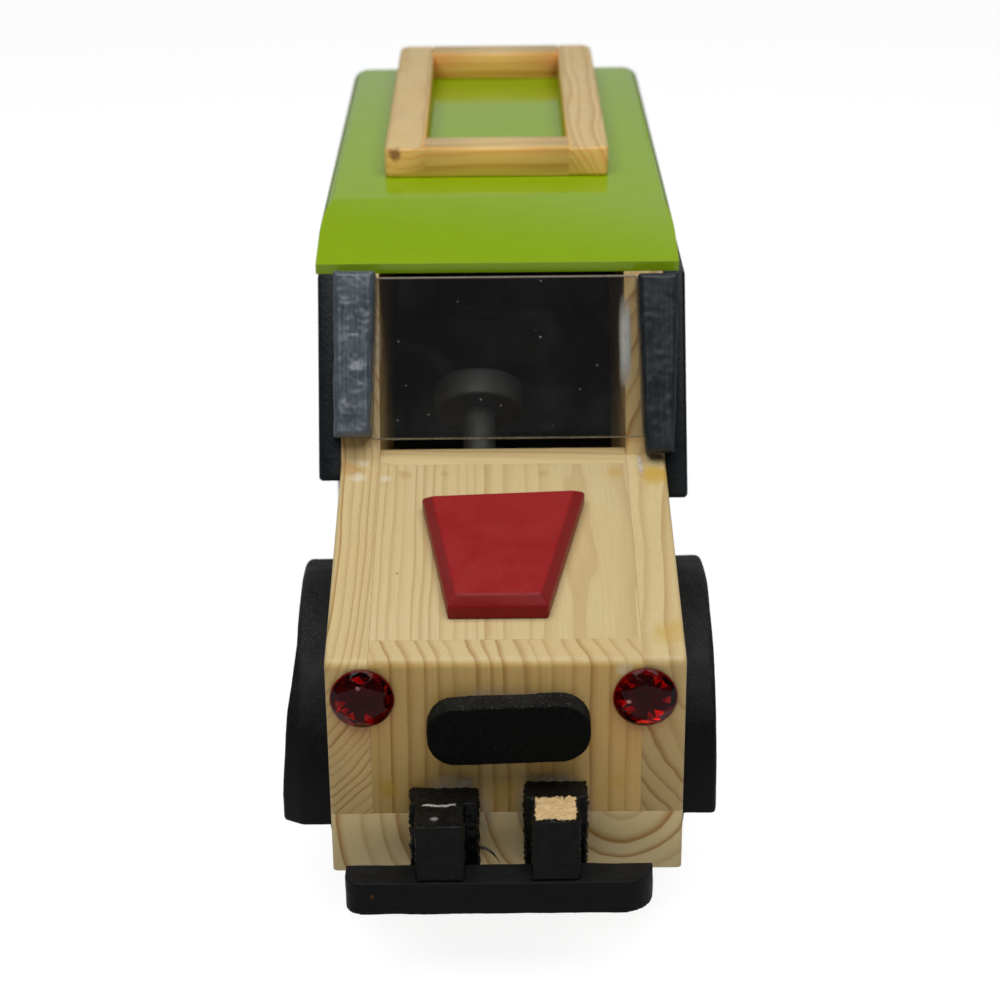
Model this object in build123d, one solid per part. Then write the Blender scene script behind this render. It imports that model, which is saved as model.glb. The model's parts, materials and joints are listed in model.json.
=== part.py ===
"""Hand-made wooden toy off-road wagon with a roof rack and two rolling axles.

Frame: the wagon drives towards -Y, +Z is up and z = 0 is the ground under the wheels. The
origin is the bottom centre of the whole toy's box. "left" and "right" are the wagon's own, so
its left side is +X.
"""

import math
import os

from build123d import *

# ---- Driving dimensions (mm) ----
BODY_WIDTH = 100.0
BODY_LENGTH = 340.0
PLANK = 12.0                 # thickness of the side planks, hood, rear panel and roof boards
FLOOR = 19.0                 # thickness of the floor board
FRONT_PANEL = 9.0
NOSE_HEIGHT = 67.5           # top of the front face above the body's underside
EDGE_ROUND = 3.0             # rounding along the top of the front face
CORNER_ROUND = 1.5           # rounding of the upright front corners

SCREEN_BACK = 94.0           # foot of the windshield, measured back from the front face
SCREEN_HEIGHT = 89.0
SCREEN_LEAN = 25.7           # degrees from vertical
GLASS = 3.0
GLASS_FOOT = 5.2             # gap between the hood line and the lower edge of the glass
GLASS_HEAD = 55.5
PILLAR_DEPTH = 8.0
COWL_STRIP = 8.0

ROOF_UNDERSIDE = 140.3
ROOF_SHIFT = -1.2
ROOF_HALF_WIDTH = 56.3
ROOF_BACK = 346.0
ROOF_LIP = 3.2               # upright front edge of the roof
ROOF_BEVEL = 43.0            # length of the sloping front of the roof
ROOF_ROUND = 5.0
ROOF_CORNER = 6.5            # roof's rear corners, seen from above

RACK_SHIFT = -1.1
RACK_HALF_WIDTH = 37.3
RACK_FRONT = 183.9
RACK_BACK = 336.3
RAIL_WIDTH = 13.2
RAIL_HEIGHT = 10.5
RAIL_ROUND = 1.6
RACK_CORNER_FRONT = 2.0      # rack's outer corners, seen from above
RACK_CORNER_REAR = 4.5

BAND = 7.0                   # thickness of the black window bands
BAND_CORNER = 1.5
BAND_SILL_LEFT = 76.2
BAND_SILL_RIGHT = 81.8
BAND_SILL_REAR = 82.0

AXLE_SETBACK = 70.0          # axle to the nearer end of the body
AXLE_RADIUS = 4.0
AXLE_CLEARANCE = 0.08
WHEEL_RADIUS = 36.0
WHEEL_WIDTH = 14.0
WHEEL_OUTER = 54.0
ARCH_RADIUS = 38.5
NOTCH_HALF_WIDTH = 38.7      # half of the floor's width between the wheels

FENDER_OUTER = 51.0
FENDER_INNER = 40.5
FENDER_REACH = 11.5          # how far a fender stands off the body
FENDER_ROUND = 1.8
FENDER_FOOT = 5.8            # how high a fender's feet end above the body's underside
FLARE_FOOT = 3.0
FLARE = 4.2                  # extra thickness of a flared foot
FLARE_RIM = 3.0              # how far a flared foot's outer edge is cut back

SCOOP_FRONT = 17.9           # along the hood's slope, from the front face
SCOOP_BACK_LEFT = 72.0
SCOOP_BACK_RIGHT = 69.5
SCOOP_HEIGHT = 7.0
SCOOP_CHAMFER = 2.8

GRILLE_WIDTH = 45.4
GRILLE_HEIGHT = 18.3
GRILLE_DEPTH = 7.5
GRILLE_TILT = 1.8
GRILLE_CENTRE = (0.7, 48.1)

GEM_RADIUS = 9.0
GEM_GIRDLE = 1.2
GEM_CROWN = 2.6
GEM_CENTRES = {"left": (38.6, 56.3), "right": (-39.8, 56.6)}

BUMPER_FRONT = -22.3
BUMPER_BACK = -12.4
BUMPER_HEIGHT = 10.0
BUMPER_LEFT = 40.6
BUMPER_RIGHT = -45.3
BRACKET_PLATE = 9.0
BRACKET_REACH = 21.4
BRACKET_FOOT = 2.0

STEERING_X = -7.6
STEERING_CENTRE = (140.0, 85.0)
STEERING_TILT = 48.0         # degrees from vertical
STEERING_RADIUS = 14.5
STEERING_THICKNESS = 9.5
COLUMN_RADIUS = 5.2
DASH_FRONT = 100.0
DASH_BACK = 112.0
DASH_HEIGHT = 76.0
SEAT_FRONT = 165.0
PARTITION_FRONT = 215.0
PARTITION = 6.0

# ---- Derived positions ----
HALF_WIDTH = BODY_WIDTH / 2
INSIDE = HALF_WIDTH - PLANK
AXLE_HEIGHT = FLOOR / 2
GROUND_CLEARANCE = WHEEL_RADIUS - AXLE_HEIGHT
AXLES = {"front": AXLE_SETBACK, "rear": BODY_LENGTH - AXLE_SETBACK}
HOOD_SLOPE = (SCREEN_HEIGHT - NOSE_HEIGHT) / SCREEN_BACK
HOOD_ANGLE = math.degrees(math.atan(HOOD_SLOPE))
SCREEN_RUN = math.tan(math.radians(SCREEN_LEAN))
ROOF_FRONT = SCREEN_BACK + (ROOF_UNDERSIDE - SCREEN_HEIGHT) * SCREEN_RUN
ROOF_TOP = ROOF_UNDERSIDE + PLANK
FRONT_Y = -(ROOF_BACK + BUMPER_FRONT) / 2

# The body is drawn with y = 0 at its front face and z = 0 at its underside, then set on its wheels.
BODY_PLACE = Pos(0, FRONT_Y, GROUND_CLEARANCE)


def side_profile(points, x_start, x_end):
    """A board whose side outline is a list of (back, up) points, running across from x_start to x_end."""
    outline = Plane.YZ.offset(x_start) * make_face(Polyline(*points, close=True))
    return extrude(outline, amount=x_end - x_start)


def block(x_range, y_range, z_range):
    """A squared block between two x, two y and two z positions."""
    size = [high - low for low, high in (x_range, y_range, z_range)]
    centre = [(high + low) / 2 for low, high in (x_range, y_range, z_range)]
    return Pos(*centre) * Box(*size)


def hood_height(back):
    """Height of the hood's sloping top at a distance back from the front face."""
    return NOSE_HEIGHT + HOOD_SLOPE * back


def screen_back(up):
    """Where the windshield's sloping seat lies, at a height above the body's underside."""
    return SCREEN_BACK + (up - SCREEN_HEIGHT) * SCREEN_RUN


def edges_along(shape, axis, low, high):
    """Straight edges along an axis, whose middles lie between two corner points."""
    def inside(edge):
        middle = edge.center()
        return all(a <= m <= b for a, m, b in zip(low, middle, high))
    return [edge for edge in shape.edges().filter_by(axis) if inside(edge)]


def cross_cylinder(back, radius, half_length):
    """A cylinder on an axle line, across the body."""
    return Pos(0, back, AXLE_HEIGHT) * Rot(0, 90, 0) * Cylinder(radius, 2 * half_length)


# ---- Wooden body ----
def floor_board():
    board = block((-HALF_WIDTH, HALF_WIDTH), (0, BODY_LENGTH), (0, FLOOR))
    front_corners = edges_along(board, Axis.Z, (-60, -1, 0), (60, 1, FLOOR))
    board = fillet(front_corners, CORNER_ROUND)
    for back in AXLES.values():
        for side in (-1, 1):
            x_range = sorted((side * NOTCH_HALF_WIDTH, side * (HALF_WIDTH + 1)))
            board -= block(x_range, (back - ARCH_RADIUS, back + ARCH_RADIUS), (-1, FLOOR + 1))
        board -= cross_cylinder(back, AXLE_RADIUS + AXLE_CLEARANCE, HALF_WIDTH)
    return board


def side_plank(side):
    points = [
        (0, FLOOR),
        (0, NOSE_HEIGHT),
        (SCREEN_BACK, SCREEN_HEIGHT),
        (ROOF_FRONT, ROOF_UNDERSIDE),
        (BODY_LENGTH, ROOF_UNDERSIDE),
        (BODY_LENGTH, FLOOR),
    ]
    inner, outer = sorted((side * INSIDE, side * HALF_WIDTH))
    plank = side_profile(points, inner, outer)
    nose = edges_along(plank, Axis.X, (-60, -1, NOSE_HEIGHT - 1), (60, 1, NOSE_HEIGHT + 1))
    plank = fillet(nose, EDGE_ROUND)
    across = side * HALF_WIDTH
    outer_corner = edges_along(plank, Axis.Z, (across - 1, -1, 0), (across + 1, 1, NOSE_HEIGHT))
    plank = fillet(outer_corner, CORNER_ROUND)
    for back in AXLES.values():
        plank -= cross_cylinder(back, ARCH_RADIUS, HALF_WIDTH + 5)
    return plank


def front_panel():
    points = [
        (0, FLOOR),
        (0, NOSE_HEIGHT),
        (FRONT_PANEL, hood_height(FRONT_PANEL)),
        (FRONT_PANEL, FLOOR),
    ]
    panel = side_profile(points, -INSIDE, INSIDE)
    nose = edges_along(panel, Axis.X, (-60, -1, NOSE_HEIGHT - 1), (60, 1, NOSE_HEIGHT + 1))
    return fillet(nose, EDGE_ROUND)


def hood_board(start, end):
    points = [
        (start, hood_height(start)),
        (end, hood_height(end)),
        (end, hood_height(end) - PLANK),
        (start, hood_height(start) - PLANK),
    ]
    return side_profile(points, -INSIDE, INSIDE)


def rear_panel():
    return block((-INSIDE, INSIDE), (BODY_LENGTH - PLANK, BODY_LENGTH), (FLOOR, ROOF_UNDERSIDE))


def roof():
    points = [
        (ROOF_FRONT + 0.1, ROOF_UNDERSIDE),
        (ROOF_FRONT + 0.1, ROOF_UNDERSIDE + ROOF_LIP),
        (ROOF_FRONT + ROOF_BEVEL, ROOF_TOP),
        (ROOF_BACK, ROOF_TOP),
        (ROOF_BACK, ROOF_UNDERSIDE),
    ]
    board = side_profile(points, ROOF_SHIFT - ROOF_HALF_WIDTH, ROOF_SHIFT + ROOF_HALF_WIDTH)
    section = block(
        (ROOF_SHIFT - ROOF_HALF_WIDTH, ROOF_SHIFT + ROOF_HALF_WIDTH),
        (0, ROOF_BACK),
        (ROOF_UNDERSIDE - 1, ROOF_TOP),
    )
    rear_corners = edges_along(section, Axis.Z, (-80, ROOF_BACK - 1, 0), (80, ROOF_BACK + 1, ROOF_TOP))
    section = fillet(rear_corners, ROOF_CORNER)
    top = section.faces().sort_by(Axis.Z)[-1]
    section = fillet([edge for edge in top.edges() if edge.center().Y > 1], ROOF_ROUND)
    return board & section


# ---- Roof rack ----
def rack_rail(x_range, y_range):
    rail = block(x_range, y_range, (ROOF_TOP, ROOF_TOP + RAIL_HEIGHT))
    top = ROOF_TOP + RAIL_HEIGHT
    long_axis = Axis.Y if y_range[1] - y_range[0] > x_range[1] - x_range[0] else Axis.X
    for back, radius in ((RACK_FRONT, RACK_CORNER_FRONT), (RACK_BACK, RACK_CORNER_REAR)):
        for x in (RACK_SHIFT - RACK_HALF_WIDTH, RACK_SHIFT + RACK_HALF_WIDTH):
            corner = edges_along(rail, Axis.Z, (x - 1, back - 1, 0), (x + 1, back + 1, top))
            rail = fillet(corner, radius) if corner else rail
    upper = edges_along(rail, long_axis, (-80, 0, top - 1), (80, ROOF_BACK, top + 1))
    return fillet(upper, RAIL_ROUND)


def rack_rails():
    low, high = RACK_SHIFT - RACK_HALF_WIDTH, RACK_SHIFT + RACK_HALF_WIDTH
    between = (low + RAIL_WIDTH, high - RAIL_WIDTH)
    return {
        "rack_rail_left": rack_rail((high - RAIL_WIDTH, high), (RACK_FRONT, RACK_BACK)),
        "rack_rail_right": rack_rail((low, low + RAIL_WIDTH), (RACK_FRONT, RACK_BACK)),
        "rack_rail_front": rack_rail(between, (RACK_FRONT, RACK_FRONT + RAIL_WIDTH)),
        "rack_rail_rear": rack_rail(between, (RACK_BACK - RAIL_WIDTH, RACK_BACK)),
    }


# ---- Windshield, pillars and window bands ----
def screen_plane():
    """A plane on the windshield's seat: x across, y up the slope from the hood line, z outwards."""
    lean = math.radians(SCREEN_LEAN)
    return Plane(
        origin=(0, SCREEN_BACK, SCREEN_HEIGHT),
        x_dir=(1, 0, 0),
        z_dir=(0, -math.cos(lean), math.sin(lean)),
    )


def windshield():
    corners = [(-40.6, GLASS_FOOT), (43.6, GLASS_FOOT), (41.8, GLASS_HEAD), (-38.6, GLASS_HEAD)]
    outline = make_face(Polyline(*corners, close=True))
    return extrude(screen_plane() * outline, amount=GLASS)


def pillar(corners):
    strip = extrude(screen_plane() * make_face(Polyline(*corners, close=True)), amount=PILLAR_DEPTH)
    front = [face for face in strip.faces() if face.normal_at().dot(screen_plane().z_dir) > 0.99]
    return chamfer(front[0].edges(), 1.2)


def window_band(side, sill):
    points = [
        (screen_back(sill), sill),
        (ROOF_FRONT, ROOF_UNDERSIDE),
        (ROOF_BACK, ROOF_UNDERSIDE),
        (ROOF_BACK, sill),
    ]
    inner, outer = sorted((side * HALF_WIDTH, side * (HALF_WIDTH + BAND)))
    band = side_profile(points, inner, outer)
    foot = edges_along(band, Axis.X, (-80, 0, sill - 1), (80, BODY_LENGTH - 5, sill + 1))
    band = fillet(foot, BAND_CORNER)
    face = [f for f in band.faces().filter_by(Axis.X) if abs(f.center().X) > HALF_WIDTH + BAND - 0.5]
    return chamfer(face[0].edges(), 0.8)


def rear_window_band():
    band = block((-HALF_WIDTH, HALF_WIDTH), (BODY_LENGTH, ROOF_BACK), (BAND_SILL_REAR, ROOF_UNDERSIDE))
    face = band.faces().sort_by(Axis.Y)[-1]
    return chamfer(face.edges(), 0.8)


# ---- Fenders, axles and wheels ----
def fender(back, side, flare_end):
    """A half-ring over one wheel. flare_end is -1 or 1 where a foot is thicker at the front or the rear."""
    foot = FLARE_FOOT if flare_end else FENDER_FOOT
    ring = fender_ring(back, Cylinder(FENDER_OUTER, 3 * BODY_WIDTH))
    y_range = (back - FENDER_OUTER - 1, back + FENDER_OUTER + 1)
    z_range = (foot, AXLE_HEIGHT + FENDER_OUTER + 1)
    outside = HALF_WIDTH + FENDER_REACH
    arch = ring & block(sorted((side * HALF_WIDTH, side * outside)), y_range, z_range)
    rims = [edge for edge in arch.edges() if abs(abs(edge.center().X) - outside) < 0.01]
    rims = [edge for edge in rims if edge.length > FENDER_OUTER * 2.5]
    arch = fillet(rims, FENDER_ROUND)
    if flare_end:
        arch += fender_flare(back, side, flare_end)
    return arch


def fender_ring(back, rim, slide=0.0):
    """A rim shape set on an axle line, slid along it, with the space over the wheel cut out."""
    placed = Pos(slide, back, AXLE_HEIGHT) * Rot(0, 90 if slide >= 0 else -90, 0) * rim
    return placed - cross_cylinder(back, FENDER_INNER, 2 * BODY_WIDTH)


def fender_flare(back, side, flare_end):
    """The thicker foot of a fender: it grows outwards as it goes down, with its outer edge cut back."""
    outside = HALF_WIDTH + FENDER_REACH
    outline = [
        (outside, FLARE_FOOT),
        (outside + FLARE, FLARE_FOOT),
        (outside + FLARE, AXLE_HEIGHT + 3.0),
        (outside + 0.6 * FLARE, AXLE_HEIGHT + 26.0),
        (outside, AXLE_HEIGHT + 41.0),
    ]
    outline = [(side * across, up) for across, up in outline]
    near, far = sorted((back, back + flare_end * FENDER_OUTER))
    wedge = extrude(Plane.XZ.offset(-far) * make_face(Polyline(*outline, close=True)), amount=far - near)
    rim = Cone(FENDER_OUTER - 0.8, FENDER_OUTER - FLARE_RIM, FLARE)
    return wedge & fender_ring(back, rim, side * (outside + FLARE / 2))


def wheel(back, side):
    """A turned disc with rounded treads and a ring groove in its outer face."""
    inner = WHEEL_OUTER - WHEEL_WIDTH
    profile = Polyline(
        (AXLE_RADIUS, inner),
        (WHEEL_RADIUS, inner),
        (WHEEL_RADIUS, WHEEL_OUTER),
        (26.0, WHEEL_OUTER),
        (24.0, WHEEL_OUTER - 2.0),
        (13.0, WHEEL_OUTER - 2.0),
        (11.0, WHEEL_OUTER),
        (AXLE_RADIUS, WHEEL_OUTER),
        close=True,
    )
    disc = revolve(Plane.XZ * make_face(profile), Axis.Z)
    treads = [edge for edge in disc.edges() if edge.length > 2 * math.pi * WHEEL_RADIUS - 1]
    treads = [edge for edge in treads if edge.geom_type == GeomType.CIRCLE]
    disc = fillet(treads, 2.0)
    return Pos(0, back, AXLE_HEIGHT) * Rot(0, side * 90, 0) * disc


def axle(back):
    return cross_cylinder(back, AXLE_RADIUS, WHEEL_OUTER)


# ---- Fittings on the hood and the front face ----
def hood_scoop():
    """A flat wedge-shaped block, wide at the windshield, with chamfered upper edges."""
    outline = Polyline(
        (-16.1, SCOOP_FRONT),
        (12.3, SCOOP_FRONT),
        (24.4, SCOOP_BACK_LEFT),
        (-24.4, SCOOP_BACK_RIGHT),
        close=True,
    )
    block_up = extrude(make_face(outline), amount=SCOOP_HEIGHT)
    top = block_up.faces().sort_by(Axis.Z)[-1]
    block_up = chamfer(top.edges(), SCOOP_CHAMFER)
    return Pos(0, 0, NOSE_HEIGHT) * Rot(HOOD_ANGLE, 0, 0) * block_up


def headlight(centre):
    """A flat-backed faceted gem: a girdle and a crown rising to a flat table."""
    face = Pos(centre[0], 0, centre[1]) * Rot(90, 0, 0)
    girdle = extrude(RegularPolygon(GEM_RADIUS, 16), amount=GEM_GIRDLE)
    crown_foot = Pos(0, 0, GEM_GIRDLE) * RegularPolygon(GEM_RADIUS, 16)
    crown_table = Pos(0, 0, GEM_GIRDLE + GEM_CROWN) * RegularPolygon(GEM_RADIUS * 0.56, 16)
    return face * (girdle + loft([crown_foot, crown_table]))


def grille():
    outline = RectangleRounded(GRILLE_WIDTH, GRILLE_HEIGHT, 8.2)
    bar = extrude(outline, amount=GRILLE_DEPTH)
    bar = chamfer(bar.faces().sort_by(Axis.Z)[-1].edges(), 0.5)
    return Pos(GRILLE_CENTRE[0], 0, GRILLE_CENTRE[1]) * Rot(90, 0, 0) * Rot(0, 0, GRILLE_TILT) * bar


def bumper_bracket(plate_x, nose_x, top):
    """A T-shaped block: a wide plate on the front face and a narrower nose that stands on the bumper."""
    plate = block(plate_x, (-BRACKET_PLATE, 0), (BRACKET_FOOT, top))
    nose = block(nose_x, (-BRACKET_REACH, -BRACKET_PLATE), (BUMPER_HEIGHT, top))
    return plate + nose


def bumper_bar():
    outline = make_face(
        Polyline(
            (BUMPER_RIGHT, BUMPER_BACK),
            (BUMPER_LEFT, BUMPER_BACK),
            (BUMPER_LEFT, BUMPER_FRONT),
            (BUMPER_RIGHT, BUMPER_FRONT),
            close=True,
        )
    )
    bar = extrude(outline, amount=BUMPER_HEIGHT)
    bar = fillet(bumper_corner(bar, BUMPER_LEFT), 8.5)
    return fillet(bumper_corner(bar, BUMPER_RIGHT), 5.0)


def bumper_corner(bar, across):
    """The upright front edge of the bumper at one of its ends."""
    return edges_along(bar, Axis.Z, (across - 1, BUMPER_FRONT - 1, 0), (across + 1, BUMPER_FRONT + 1, 20))


# ---- Cab interior ----
def steering_place():
    """Where the steering column's line meets the wheel's lower face, with z up the column."""
    return Pos(STEERING_X, *STEERING_CENTRE) * Rot(-STEERING_TILT, 0, 0)


def steering_wheel():
    disc = Pos(0, 0, STEERING_THICKNESS / 2) * Cylinder(STEERING_RADIUS, STEERING_THICKNESS)
    disc = chamfer(disc.edges().filter_by(GeomType.CIRCLE), 0.6)
    return steering_place() * disc


def steering_column():
    """A dowel from the wheel down to the dashboard's upright rear face."""
    length = (STEERING_CENTRE[0] - DASH_BACK) / math.sin(math.radians(STEERING_TILT))
    rod = Pos(0, 0, -length / 2 - 5) * Cylinder(COLUMN_RADIUS, length + 10)
    return (steering_place() * rod) - dashboard()


def dashboard():
    return block((-INSIDE, INSIDE), (DASH_FRONT, DASH_BACK), (FLOOR, DASH_HEIGHT))


def bench_seat():
    points = [
        (SEAT_FRONT, FLOOR),
        (SEAT_FRONT, 56.0),
        (SEAT_FRONT + 24.0, 58.0),
        (PARTITION_FRONT - 12.0, 96.0),
        (PARTITION_FRONT, 96.0),
        (PARTITION_FRONT, FLOOR),
    ]
    return side_profile(points, -INSIDE, INSIDE)


def cab_partition():
    y_range = (PARTITION_FRONT, PARTITION_FRONT + PARTITION)
    return block((-INSIDE, INSIDE), y_range, (FLOOR, ROOF_UNDERSIDE))


# ---- Assembly ----
def body_pieces():
    cowl_start = SCREEN_BACK - COWL_STRIP / 2
    return {
        "floor_board": floor_board(),
        "side_plank_left": side_plank(1),
        "side_plank_right": side_plank(-1),
        "front_panel": front_panel(),
        "hood_panel": hood_board(FRONT_PANEL, cowl_start),
        "cowl_strip": hood_board(cowl_start, cowl_start + COWL_STRIP),
        "rear_panel": rear_panel(),
        "roof": roof(),
        "windshield": windshield(),
        "pillar_left": pillar([(43.8, 0.3), (52.6, 0.3), (54.5, 55.5), (42.0, 55.5)]),
        "pillar_right": pillar([(-51.9, 6.0), (-40.8, 6.0), (-38.8, 57.0), (-51.6, 57.0)]),
        "window_band_left": window_band(1, BAND_SILL_LEFT),
        "window_band_right": window_band(-1, BAND_SILL_RIGHT),
        "window_band_rear": rear_window_band(),
    }


def fitting_pieces():
    return {
        "hood_scoop": hood_scoop(),
        "headlight_left": headlight(GEM_CENTRES["left"]),
        "headlight_right": headlight(GEM_CENTRES["right"]),
        "grille": grille(),
        "bumper_bracket_left": bumper_bracket((5.2, 22.3), (6.9, 20.0), 29.4),
        "bumper_bracket_right": bumper_bracket((-26.9, -8.3), (-25.3, -12.0), 27.6),
        "bumper_bar": bumper_bar(),
        "steering_wheel": steering_wheel(),
        "steering_column": steering_column(),
        "dashboard": dashboard(),
        "bench_seat": bench_seat(),
        "cab_partition": cab_partition(),
    }


def running_gear():
    pieces = {}
    for end, back in AXLES.items():
        pieces[f"{end}_axle"] = axle(back)
        for name, side in (("left", 1), ("right", -1)):
            pieces[f"wheel_{end}_{name}"] = wheel(back, side)
            flared = (end, name) in (("front", "right"), ("rear", "left"))
            flare_end = (-1 if end == "front" else 1) if flared else 0
            pieces[f"fender_{end}_{name}"] = fender(back, side, flare_end)
    return pieces


def main():
    os.makedirs("parts", exist_ok=True)
    pieces = {**body_pieces(), **rack_rails(), **fitting_pieces(), **running_gear()}
    for name, piece in pieces.items():
        export_step(BODY_PLACE * piece, f"parts/{name}.step")


main()
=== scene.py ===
"""Looks of the hand-made wooden toy off-road wagon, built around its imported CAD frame.

The wagon drives towards -Y and +Z is up. "left" and "right" are the wagon's own: left is +X.
The wagon's lengths are in millimetres and are turned into metres with MM where Blender needs
them. The camera, the lamp and the floor are placed in metres.
"""

import json
import math
import random

import bmesh
import bpy
from mathutils import Matrix, Vector, noise


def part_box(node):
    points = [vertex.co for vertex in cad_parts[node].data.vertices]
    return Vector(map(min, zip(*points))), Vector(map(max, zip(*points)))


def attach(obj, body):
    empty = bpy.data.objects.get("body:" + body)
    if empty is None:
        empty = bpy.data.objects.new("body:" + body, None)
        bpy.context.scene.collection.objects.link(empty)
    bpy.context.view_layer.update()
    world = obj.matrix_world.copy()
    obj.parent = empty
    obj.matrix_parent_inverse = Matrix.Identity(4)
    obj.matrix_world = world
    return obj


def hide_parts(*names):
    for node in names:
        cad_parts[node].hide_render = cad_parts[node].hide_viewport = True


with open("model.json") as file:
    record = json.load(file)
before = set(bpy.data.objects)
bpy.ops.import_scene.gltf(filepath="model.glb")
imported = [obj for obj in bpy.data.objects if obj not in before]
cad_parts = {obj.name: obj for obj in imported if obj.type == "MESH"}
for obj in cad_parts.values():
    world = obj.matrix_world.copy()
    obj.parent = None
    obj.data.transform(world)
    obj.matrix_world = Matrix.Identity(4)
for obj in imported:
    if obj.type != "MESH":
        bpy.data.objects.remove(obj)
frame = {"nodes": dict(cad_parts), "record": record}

MM = 0.001
ACROSS = Vector((1, 0, 0))
UP = Vector((0, 0, 1))
FORWARD = Vector((0, -1, 0))
WAGON = "wagon"
NODES = frame["nodes"]
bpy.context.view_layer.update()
SCENE = bpy.context.scene

# ---- Camera, light and floor ----
CAMERA_PLACE = (-0.00108, -0.7081, 0.3853)
CAMERA_ELEVATION = 23.97
CAMERA_ROLL = -0.56
CAMERA_LENS = 80.9
SENSOR = 36.0
FOCUS_BACK = 25.0  # how far behind the front face the picture is sharpest, in millimetres
APERTURE = 16.0
LAMP_POWER = 15.5
LAMP_PLACE = (0.0, -0.48, 1.22)
LAMP_AIM = (0.0, -0.288, 0.0)
LAMP_SIZE = (1.5, 1.15)
WORLD_FRONT = 0.085
WORLD_BACK = 0.14
WORLD_HORIZON = 0.34
WORLD_TINT = (0.94, 0.98, 1.0, 1.0)
FLOOR_HALF = 30.0
FLOOR_GLOW = 0.88
FLOOR_BOUNCE = 0.60

# ---- Colours (linear) ----
PINE_LIGHT = (0.73, 0.585, 0.31)
PINE_DARK = (0.36, 0.165, 0.036)
PINE_FIBRE = (0.50, 0.33, 0.12)
PINE_HONEY = (0.68, 0.46, 0.15)
PINE_PORE = (0.13, 0.085, 0.045)
# Painted shade: multiplied into the boards' faces that do not look up, where less light falls
PINE_PAINTED_SHADE = (0.95, 0.77, 0.42)
# Painted light: multiplied into the rack's faces that do not look up, making them lighter and more orange
RACK_PAINTED_LIGHT = (1.72, 1.31, 0.98)
PINE_SCRATCH = (0.86, 0.76, 0.52)
PINE_KNOT = (0.22, 0.07, 0.02)
GLUE_STAIN = (0.60, 0.37, 0.04)
GLUE_WHITE = (0.86, 0.81, 0.68)
GLUE_GREY = (0.72, 0.73, 0.70)
RESIN = (0.46, 0.24, 0.06)
BARE_WOOD = (0.80, 0.56, 0.28)
SCRAPE = (0.50, 0.48, 0.44)
GREEN = (0.262, 0.415, 0.002)
RED = (0.32, 0.008, 0.009)
BLACK = (0.0062, 0.0068, 0.0075)
MATT_BLACK = (0.0034, 0.0034, 0.0029)
# Painted sheen: black with a blue tint standing in for the bluish sheen of the window bands
BLACK_PAINTED_BLUE_SHEEN = (0.0055, 0.0078, 0.0098)
# Painted sheen: the pillars' black is lifted and tinted blue to stand in for their sheen, one much brighter
PILLAR_PAINTED_SHEEN = (0.052, 0.066, 0.080)
PILLAR_BRUSHED_PAINTED_SHEEN = (0.010, 0.014, 0.017)
# Painted sheen: the steering wheel's black is lifted so that it shows in the dark cab
STEERING_PAINTED_SHEEN = (0.030, 0.032, 0.034)
DUST = (0.16, 0.155, 0.14)
SPECK_BROWN = (0.12, 0.04, 0.012)
# Painted shade: a darker red for the shade in a small dent in the scoop
SCOOP_DENT_PAINTED_SHADE = (0.10, 0.002, 0.002)
GEM = (0.85, 0.03, 0.035)
BUBBLE_PINK = (0.95, 0.72, 0.70)

# ---- Places on the wagon ----
BODIES = frame["record"]["behaviour"]["bodies"]
FACE_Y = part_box("front_panel")[0].y
UNDER_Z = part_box("floor_board")[0].z
HOOD_SLOPE = 0.2287
NOSE_TOP = 67.5
SCREEN_FOOT = (94.0, 89.0)  # back from the front face, up from the underside
SCREEN_LEAN = math.radians(25.7)
NOSE_BACK = 9.0  # how far in front of a bracket's rear face its nose starts
RAILS = ("rack_rail_left", "rack_rail_right", "rack_rail_front", "rack_rail_rear")

# ---- Meshes ----
EDGE_REACH = 0.7
WELD = 1e-6
SHARP_ANGLE = math.radians(32)
FLAT_ANGLE = math.radians(0.6)
RELAX_STEP = 0.4
FILM_SPOKES = 56
FILM_ROOT = -0.05  # a film's rim and underside lie this far into the face it is on
LATE_WOOD = ((0.0, 0.30), (0.10, 0.0), (0.58, 0.08), (0.80, 0.6), (0.90, 1.0))
PILLAR_DENTS = (
    (0.55, 0.53, 2.6, 0.8), (0.25, 0.30, 1.6, 0.5), (0.70, 0.80, 1.8, 0.4), (0.40, 0.12, 2.0, 0.4)
)
BUBBLE_RADII = (1.25, 1.0)
BUBBLE_HEIGHT = 0.42
BUBBLE_SUNK = 0.35
BUBBLE_PLACE = {"headlight_left": (-0.52, 0.02), "headlight_right": (-0.08, 0.52)}
HALO_WIDTH = 1.1
HALO_HEIGHT = 0.28

# ---- Gems: radii are shares of the gem's radius, crown heights shares of its thickness ----
GIRDLE_SPOKES = 48
FACETS = 8
BACK_RADIUS = 0.97
GIRDLE_HEIGHT = 0.32
SHOULDER_RADIUS = 0.86
SHOULDER_RISE = 0.40
TABLE_RADIUS = 0.62
MOULDED_EDGE = 0.22
FOLDS = 16
FOIL_RINGS = ((0.5, 0.93, 0.96), (0.2, 0.74, 0.30), (0.5, 0.50, 0.55))  # turn, radius, millimetres up
FOIL_TIP = 0.4

# ---- Splinter ----
SPLINTER_REACH = (6.8, -2.2, -4.0)
SPLINTER_SAG = (0.4, -0.3, 1.6)
SPLINTER_STEPS = 8
SPLINTER_CORNERS = 6

# ---- Crumbs of red paint along the scoop's lower edge: share of the row, radius ----
CRUMB_START = -14.0
CRUMB_ROW = 27.0
CRUMBS = ((0.0, 0.7), (0.16, 0.5), (0.31, 0.8), (0.55, 0.5), (0.74, 0.6), (0.93, 0.9))


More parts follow.
